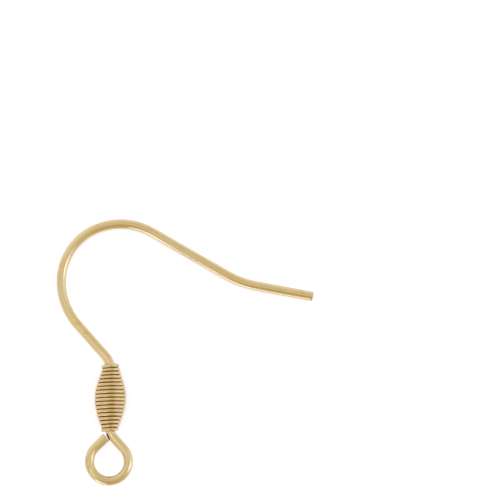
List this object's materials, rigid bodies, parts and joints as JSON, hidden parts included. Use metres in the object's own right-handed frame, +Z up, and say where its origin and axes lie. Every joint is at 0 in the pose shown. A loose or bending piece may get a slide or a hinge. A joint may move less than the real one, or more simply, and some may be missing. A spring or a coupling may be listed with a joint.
{
  "type": "ear wire",
  "caption": "Fish-hook ear wire lying on its side: round wire bent into an arch with a straight tail, a barrel coil round its neck and an eye for a drop.",
  "frame": {"origin": "middle of the box of the ear wire as it lies on its side, on the surface that it lies on", "axes": "+Z up from the surface; +Y along the neck as seen from above, from the eye towards the arch; +X towards the tip of the tail"},
  "size_m": [0.0188, 0.0196, 0.0024],
  "materials": {
    "hook_wire": "polished pale gold plate",
    "coil_wire": "polished pale gold plate, darker between the turns"
  },
  "bodies": {
    "root": {"ear_hook": "hook_wire", "coil": "coil_wire"}
  },
  "joints": []
}
